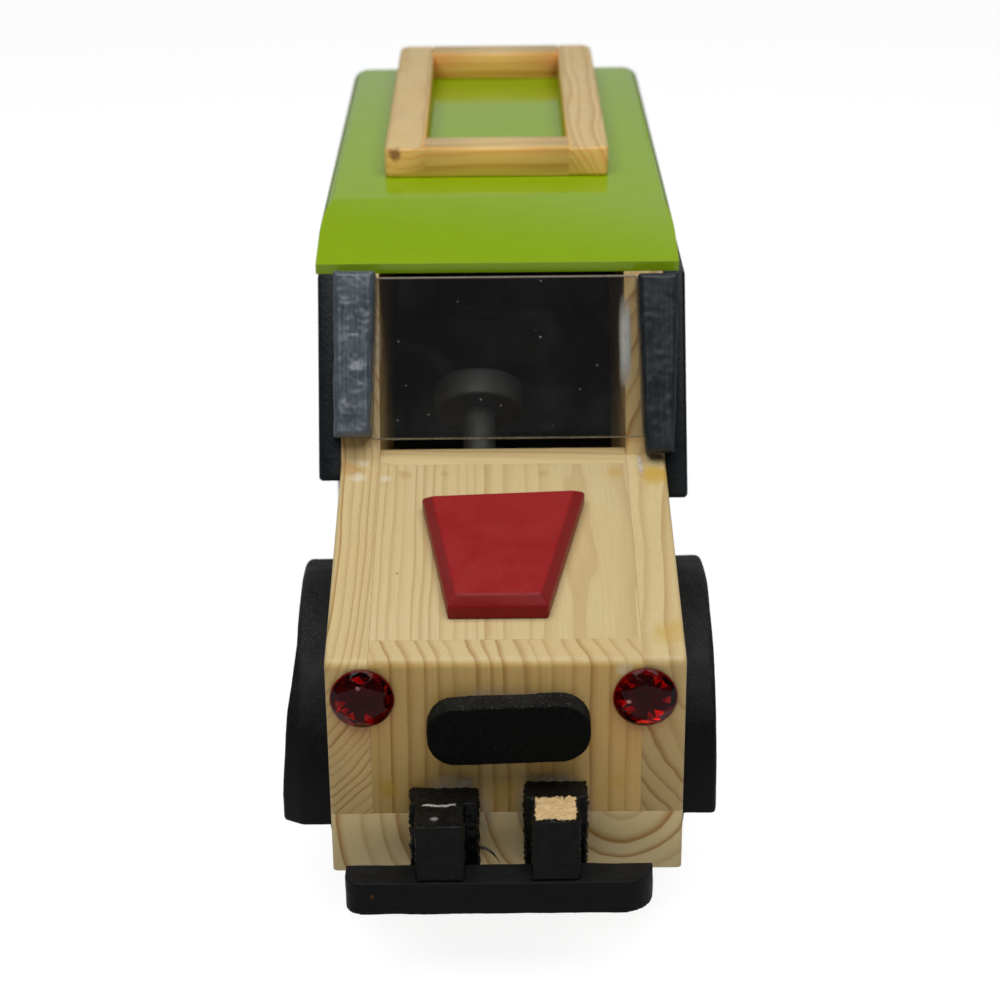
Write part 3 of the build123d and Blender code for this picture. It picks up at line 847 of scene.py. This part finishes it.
def build_pillars():
    lean = math.tan(SCREEN_LEAN)
    # Both pillars are black paint; their lifted, bluish base colours are painted sheen, brighter on the right
    # pillar
    thick = paint("black_pillar", PILLAR_PAINTED_SHEEN, "Z", gloss=0.24, streaks=1.6, dust=0.1, chips=0.1, sheen=0.7,
                  coat=0.2, lumps=0.35, mottle=1.1, lean=lean)
    carved("pillar_right", thick, 0.4, 8, ((4.2, 0.34), (1.5, 0.13)), 5.0, pillar_shape("pillar_right"))
    brushed = paint("black_pillar_brushed", PILLAR_BRUSHED_PAINTED_SHEEN, "Z", gloss=0.28, streaks=2.6, dust=0.1, chips=0.1,
                    sheen=0.45, lumps=0.12, mottle=0.9, lean=lean)
    carved("pillar_left", brushed, 0.4, 8, ((8.0, 0.20), (2.2, 0.14)), 9.0)


def build_black_parts():
    build_brackets()
    speck = spot(-37.5, -22.3, 6.0, 0.9, SPECK_BROWN, 0.95)
    bar = paint("black_bumper", BLACK, "X", gloss=0.36, streaks=0.5, dust=0.4, chips=0.06, sheen=0.10,
                marks=(speck,))
    carved("bumper_bar", bar, 0.45, 1, ((9.0, 0.22), (2.5, 0.07)), 4.0)
    matt = paint("black_grille", MATT_BLACK, "X", gloss=0.6, streaks=0.12, dust=1.6, chips=0.0, sheen=0.06)
    carved("grille", matt, 0.6, 2, ((5.0, 0.14), (1.6, 0.05)), 8.0)
    build_pillars()
    satin = paint("black_fender", BLACK, "Y", gloss=0.36, streaks=0.25, dust=0.8, chips=0.04, sheen=0.14)
    for index, node in enumerate(n for n in NODES if n.startswith("fender")):
        carved(node, satin, 0.7, 2, ((14.0, 0.22), (3.0, 0.05)), 3.0 + index)


def broken_top(s, place, x, y, z):
    """Where the paint came off the top of the bracket's nose, with a jagged border."""
    low, high = (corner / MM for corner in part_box("bumper_bracket_left"))
    jagged = s.times(s.minus(s.noise(place, 0.8, 3.0, 0.7), 0.5), 4.4)
    teeth = s.times(s.minus(s.noise(place, 2.6, 2.0), 0.5), 1.2)
    ragged = s.plus(jagged, teeth)
    nose_back = high.y - NOSE_BACK
    reach_back = s.span(s.plus(y, ragged), nose_back + 0.3, nose_back - 0.1)
    reach_down = s.span(s.plus(y, s.times(ragged, 0.8)), low.y + 1.2, low.y + 1.5)
    aside = s.plus(x, s.times(ragged, 0.5))
    inner = s.span(aside, low.x + 2.5, low.x + 2.8)
    outer = s.span(aside, high.x - 3.1, high.x - 3.4)
    upper = s.span(s.plus(z, s.times(teeth, 0.4)), high.z - 1.9, high.z - 1.5)
    lengthwise = s.times(s.times(reach_back, reach_down), upper)
    return s.times(lengthwise, s.times(inner, outer))


def scraped_top(s, place, x, y, z):
    """A pale scrape and a small chip on the top of the other bracket's nose."""
    low, high = (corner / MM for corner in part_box("bumper_bracket_right"))
    ragged = s.times(s.minus(s.noise(place, 1.1, 3.0, 0.7), 0.5), 1.6)
    line = s.math("ABSOLUTE", s.minus(s.plus(y, ragged), high.y - NOSE_BACK - 0.8))
    across = s.math("ABSOLUTE", s.minus(x, low.x + 8.0))
    scrape = s.times(s.span(line, 0.55, 0.3), s.span(across, 5.0, 4.2))
    chip = s.spot(place, (low.x + 6.8, high.y - 17.0, high.z), 1.6)
    upper = s.span(z, high.z - 1.6, high.z - 1.2)
    return s.times(s.math("MAXIMUM", scrape, s.times(chip, 0.6)), upper)


def build_splinter():
    """A painted splinter that hangs off the ragged side of the bracket."""
    low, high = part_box("bumper_bracket_right")
    root = Vector((high.x - 0.5 * MM, high.y - 6.0 * MM, low.z + 9.5 * MM))
    bm = bmesh.new()
    loops = []
    for step in range(SPLINTER_STEPS + 1):
        share = step / SPLINTER_STEPS
        bend = Vector(SPLINTER_SAG) * MM * math.sin(math.pi * share)
        centre = root + Vector(SPLINTER_REACH) * MM * share + bend
        girth = (0.62 * (1 - share) ** 0.7 + 0.10) * MM
        loop = []
        for corner in range(SPLINTER_CORNERS):
            angle = math.tau * corner / SPLINTER_CORNERS + share
            uneven = 1 + 0.3 * noise.noise(Vector((share * 5, corner, 2.0)))
            offset = Vector((0.35 * math.cos(angle), math.cos(angle), math.sin(angle) * 0.55))
            loop.append(bm.verts.new(centre + offset * girth * uneven))
        loops.append(loop)
    for first, second in zip(loops, loops[1:]):
        for corner in range(SPLINTER_CORNERS):
            after = (corner + 1) % SPLINTER_CORNERS
            bm.faces.new((first[corner], first[after], second[after], second[corner]))
    bm.faces.new(list(reversed(loops[0])))
    bm.faces.new(loops[-1])
    chip = paint("black_splinter", BLACK, "X", gloss=0.3, streaks=0.6, dust=0.3, sheen=0.5)
    join_wagon(new_object("bracket_splinter", bm, chip))


def build_glue():
    """Dried glue around the parts stuck to the front face and beside the windshield."""
    milky = glue("glue_milky", (0.45, 0.95), GLUE_WHITE)
    solid = glue("glue_solid", (0.85, 1.0), GLUE_GREY)
    smeared = glue("glue_smeared", (0.20, 0.70), GLUE_WHITE)
    thin = glue("glue_thin", (0.06, 0.38), GLUE_WHITE)
    clear = glue("glue_clear", (0.05, 0.28), GLUE_WHITE)
    up_screen = (0, math.sin(SCREEN_LEAN), math.cos(SCREEN_LEAN))
    up_hood = (0, 1, HOOD_SLOPE)
    low, high = (from_face(corner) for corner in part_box("grille"))
    grille = at((low.x + high.x) / 2 + 2.0, 0, (low.z + high.z) / 2 + 1.6)
    puddles = (
        ("glue_bracket_right_top", smeared, at(-15.0, 0, 27.6), (9.0, 4.6), 0.22, 3.0),
        ("glue_bracket_right_side", clear, at(-6.6, 0, 20.0), (4.4, 10.5), 0.3, 5.0),
        ("glue_bracket_left_top", smeared, at(12.6, 0, 29.2), (10.4, 3.6), 0.22, 7.0),
        ("glue_bracket_left_side", thin, at(21.8, 0, 21.5), (3.4, 9.5), 0.2, 9.0),
        ("glue_bracket_left_inner", thin, at(5.0, 0, 21.0), (2.6, 10.0), 0.2, 11.0),
        ("glue_grille", smeared, grille, (23.0, 11.0), 0.15, 13.0),
    )
    for name, material, centre, radii, height, seed in puddles:
        join_wagon(film(name, material, centre, UP, radii, height, seed, power=3.0))
    beads = (
        ("glue_screen_left", solid, on_screen(38.2, 35.3), (2.3, 16.0), 15.0),
        ("glue_screen_right", thin, on_screen(-38.7, 36.0), (1.5, 11.0), 17.0),
    )
    for name, material, centre, radii, seed in beads:
        bead = film(name, material, centre, up_screen, radii, 0.30, seed, ragged=0.10, power=4.5)
        join_wagon(bead)
    drip = film("glue_drip_left", milky, on_hood(42.0, 88.5), up_hood, (1.2, 6.5), 0.4, 19.0)
    join_wagon(drip)


def on_screen(x, up):
    """A place on the side planks' sloping ends, where the windshield lies, a way up from the hood."""
    foot_back, foot_height = SCREEN_FOOT
    return at(x, foot_back + up * math.sin(SCREEN_LEAN), foot_height + up * math.cos(SCREEN_LEAN))


def on_hood(x, back):
    return at(x, back, NOSE_TOP + HOOD_SLOPE * back)


def from_face(place):
    """A world place in metres, measured as at() measures it, in millimetres."""
    return Vector((place.x, place.y - FACE_Y, place.z - UNDER_Z)) / MM


# ---- Dressing the wagon ----
def wood_marks():
    """Stains, resin and specks on the boards, and crumbs of red on the hood below the scoop."""
    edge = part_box("hood_scoop")[0]
    crumbs = tuple(
        ((share * CRUMB_ROW + CRUMB_START, edge.y / MM - 0.9, edge.z / MM + 0.6), size, RED, 0.9)
        for share, size in CRUMBS
    )
    return {
        "front_panel": (
            spot(-33.5, 0, 27.0, 4.6, GLUE_STAIN, 0.75),
            spot(31.0, 0, 29.0, 4.2, GLUE_STAIN, 0.45),
            spot(-2.0, 0, 26.0, 6.0, GLUE_STAIN, 0.35),
            spot(-36.0, 0, 61.0, 3.0, GLUE_WHITE, 0.30),
            spot(33.0, 0, 64.5, 3.4, GLUE_WHITE, 0.30),
        ),
        "hood_panel": (
            spot(-36.0, 83, 86.5, 2.6, GLUE_WHITE, 0.45),
            spot(-30.0, 85, 87.0, 3.4, RESIN, 0.35),
            spot(-18.0, 85, 87.0, 2.2, RESIN, 0.30),
            spot(12.0, 85, 87.0, 2.4, RESIN, 0.30),
            spot(34.0, 85, 87.0, 3.6, GLUE_STAIN, 0.55),
            spot(-28.0, 86, 85.0, 1.0, PINE_PORE, 0.9),
            spot(-36.5, 50, 78.0, 0.9, PINE_PORE, 0.9),
            spot(-31.0, 38, 76.0, 0.7, PINE_PORE, 0.7),
        ) + crumbs,
        "side_plank_left": (
            spot(46.0, 12, 68.0, 9.0, GLUE_STAIN, 0.45),
            spot(46.0, 84, 85.0, 8.0, GLUE_STAIN, 0.85),
        ),
        "side_plank_right": (
            spot(-47.0, 88, 87.0, 6.0, RESIN, 0.55),
            spot(-44.5, 84, 86.5, 3.6, GLUE_WHITE, 0.45),
            spot(-43.0, 91, 88.0, 2.8, GLUE_WHITE, 0.35),
            spot(-43.5, 22, 72.0, 0.8, PINE_PORE, 0.8),
        ),
    }


def dress_wood():
    under = UNDER_Z / MM
    face = FACE_Y / MM
    marks = wood_marks()
    # depth sets how much painted shade each board's faces that do not look up get
    boards = (
        ("floor_board", "floor", "Y", (33.0, under + 24.0), 6.2, 3.1, dict(contrast=1.0, wander=0.4)),
        ("side_plank_left", "plank_left", "Y", (104.0, under + 72.0), 5.2, 7.7,
         dict(contrast=0.9, depth=0.5)),
        ("side_plank_right", "plank_right", "Y", (-96.0, under + 84.0), 2.5, 5.2,
         dict(contrast=1.0, wander=0.5, depth=0.5)),
        ("front_panel", "front", "Z", (120.0, face + 49.0), 4.3, 9.4,
         dict(contrast=0.85, wander=0.6, depth=0.85)),
        ("hood_panel", "hood", "Y", (24.0, under + 60.0), 2.1, 2.3,
         dict(contrast=0.56, wander=0.5, slope=HOOD_SLOPE)),
        ("cowl_strip", "cowl", "X", (face + 80.0, under + 60.0), 2.6, 6.6, dict(contrast=0.5, depth=0.4)),
        ("rear_panel", "rear", "Z", (-90.0, face + 380.0), 5.0, 4.1, {}),
    )
    for node, name, *recipe, finish in boards:
        wood = pine("pine_" + name, *recipe, marks=marks.get(node, ()), **finish)
        dress(node, wood, edge=0.22)


def dress_rack():
    left, right, front, rear = (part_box(node)[0] for node in RAILS)
    low = left.z / MM
    recipes = (
        ("Y", (left.x / MM - 9.0, low - 6.0), 2.4, 3.3),
        ("Y", (right.x / MM + 5.0, low + 30.0), 2.9, 5.9),
        ("X", (front.y / MM - 9.0, low - 20.0), 3.2, 8.8),
        ("X", (rear.y / MM + 22.0, low - 8.0), 2.8, 1.4),
    )
    joints = [corner.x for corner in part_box("rack_rail_front")]

    def in_joint(middle):
        return min(abs(middle.x - joint) for joint in joints) < 0.3 * MM

    knot = (tuple(right / MM + Vector((3.5, 0.5, 8.0))), 3.4, PINE_KNOT, 0.8)
    for node, recipe in zip(RAILS, recipes):
        marks = (knot,) if node == "rack_rail_right" else ()
        # depth=1.0 with the rack's shade colour paints light on the faces that do not look up
        wood = pine("pine_" + node, *recipe, contrast=0.75, depth=1.0, marks=marks, honey=0.55,
                    shade=RACK_PAINTED_LIGHT)
        dress(node, wood, edge=1.3, segments=4, kept_tight=in_joint)


def dress_rest():
    """Everything but the boards, the rack and the hand-worked black parts."""
    # The bands' blue tint is painted sheen
    band = paint("black_band", BLACK_PAINTED_BLUE_SHEEN, "Y", gloss=0.28, streaks=1.4, dust=0.3, chips=0.2, sheen=0.24,
                 lumps=0.5)
    cabin = paint("black_cabin", BLACK, "X", gloss=0.4, streaks=0.4, dust=0.5, chips=0.0, sheen=0.3)
    # The steering wheel's lifted black is painted sheen
    steering = paint("black_steering", STEERING_PAINTED_SHEEN, "Z", gloss=0.5, streaks=0.8, dust=0.0, chips=0.0,
                     sheen=0.6)
    green = paint("green_paint", GREEN, "X", gloss=0.12, streaks=0.02, dust=0.0, chips=0.3, sheen=0.45,
                  lumps=0.05, mottle=0.08)
    # A darker red spot paints the shade in a small dent on the scoop
    dent_shade = spot(-6.0, 62, 90.0, 1.3, SCOOP_DENT_PAINTED_SHADE, 0.8)
    # shade=0.28 paints shade on the red paint's faces that do not look up
    red = paint("red_paint", RED, "Y", gloss=0.36, streaks=0.10, dust=0.5, chips=0.3, sheen=0.20, lumps=0.2,
                mottle=0.2, shade=0.28, marks=(dent_shade,))
    tyre = paint("black_wheel", BLACK, "X", gloss=0.34, streaks=0.2, dust=0.5, chips=0.2, sheen=0.35)
    glass = clear_acrylic("clear_acrylic")
    finishes = (
        ("green_paint", green, 1.2, 5),
        ("red_paint", red, 0.7, 3),
        ("black_wheel", tyre, 1.6, 4),
        ("window_band", band, 0.4, 2),
        ("steering", steering, 0.6, 3),
        ("dashboard", cabin, 0.8, 2),
        ("bench_seat", cabin, 0.8, 2),
        ("cab_partition", cabin, 0.8, 2),
    )
    for node in NODES:
        slot = slot_of(node)
        if slot == "clear_acrylic":
            dress(node, glass, edge=0.5, sawn=sawn_acrylic("acrylic_edge"))
        elif slot == "dowel":
            dress(node, pine("dowel_" + node, "X", (0.0, 0.0), 1.2, 1.5, contrast=0.4), edge=0.3)
        for key, material, edge, segments in finishes:
            if slot == key or node.startswith(key):
                dress(node, material, edge, segments)


# ---- Stage ----
def camera_axes():
    """The camera's right, up and back, tilted down and rolled a little."""
    pitch = math.radians(CAMERA_ELEVATION)
    roll = math.radians(CAMERA_ROLL)
    forward = Vector((0, math.cos(pitch), -math.sin(pitch)))
    right = ACROSS * math.cos(roll) + ACROSS.cross(forward) * math.sin(roll)
    return right, right.cross(forward), -forward


def add_camera():
    """The photo's camera. It focuses on the hood's front, so that the rack is a little soft."""
    lens = bpy.data.cameras.new("camera")
    lens.lens = CAMERA_LENS
    lens.sensor_width = SENSOR
    lens.clip_start = 0.01
    focus = link("focus", None)
    focus.location = at(0, FOCUS_BACK, NOSE_TOP)
    lens.dof.use_dof = True
    lens.dof.focus_object = focus
    lens.dof.aperture_fstop = APERTURE
    camera = link("camera", lens)
    axes = Matrix(camera_axes()).transposed().to_4x4()
    camera.matrix_world = Matrix.Translation(CAMERA_PLACE) @ axes
    SCENE.camera = camera


def add_lamp():
    light = bpy.data.lights.new("softbox", "AREA")
    light.shape = "RECTANGLE"
    light.size, light.size_y = LAMP_SIZE
    light.energy = LAMP_POWER
    lamp = link("softbox", light)
    lamp.location = LAMP_PLACE
    lamp.rotation_euler = (Vector(LAMP_AIM) - Vector(LAMP_PLACE)).to_track_quat("-Z", "Y").to_euler()


def add_gradient(world, direction, low, high, dim, bright):
    """The world's shade from dim to bright, between two values of one axis of the direction."""
    span = world.nodes.new("ShaderNodeMapRange")
    span.interpolation_type = "SMOOTHSTEP"
    for socket, value in zip(("From Min", "From Max", "To Min", "To Max"), (low, high, dim, bright)):
        span.inputs[socket].default_value = value
    world.links.new(direction, span.inputs["Value"])
    return span.outputs[0]


def add_world():
    """Dim surroundings with a brighter band low behind the wagon. The camera sees them white."""
    studio = bpy.data.worlds.new("studio")
    studio.use_nodes = True
    world = studio.node_tree
    direction = world.nodes.new("ShaderNodeTexCoord")
    split = world.nodes.new("ShaderNodeSeparateXYZ")
    world.links.new(direction.outputs["Generated"], split.inputs[0])
    along, height = split.outputs[1], split.outputs[2]
    total = world.nodes.new("ShaderNodeMath")
    total.operation = "MULTIPLY_ADD"
    gradients = (
        (along, 0.0, 0.8, 0.0, WORLD_HORIZON),
        (height, 0.42, 0.68, 1.0, 0.0),
        (along, -0.3, 0.3, WORLD_FRONT, WORLD_BACK),
    )
    for gradient, socket in zip(gradients, total.inputs):
        world.links.new(add_gradient(world, *gradient), socket)
    sight = world.nodes.new("ShaderNodeLightPath")
    strength = world.nodes.new("ShaderNodeMix")
    strength.inputs["B"].default_value = 1.0
    background = world.nodes["Background"]
    background.inputs["Color"].default_value = WORLD_TINT
    world.links.new(sight.outputs["Is Camera Ray"], strength.inputs["Factor"])
    world.links.new(total.outputs[0], strength.inputs["A"])
    world.links.new(strength.outputs["Result"], background.inputs["Strength"])
    SCENE.world = studio


def add_stage():
    bm = bmesh.new()
    bmesh.ops.create_grid(bm, x_segments=2, y_segments=2, size=FLOOR_HALF)
    floor = new_object("floor", bm, plain_floor("pale_floor"), smooth=False)
    add_lamp()
    add_world()
    SCENE.view_settings.view_transform = "Standard"
    cycles = SCENE.cycles
    cycles.use_denoising = True
    cycles.caustics_reflective = False
    cycles.caustics_refractive = False
    cycles.max_bounces = 12
    cycles.transmission_bounces = 10
    cycles.transparent_max_bounces = 12


dress_wood()
dress_rack()
dress_rest()
build_black_parts()
build_gem("headlight_left", 3.0)
build_gem("headlight_right", 8.0)
build_splinter()
build_glue()
add_camera()
add_stage()
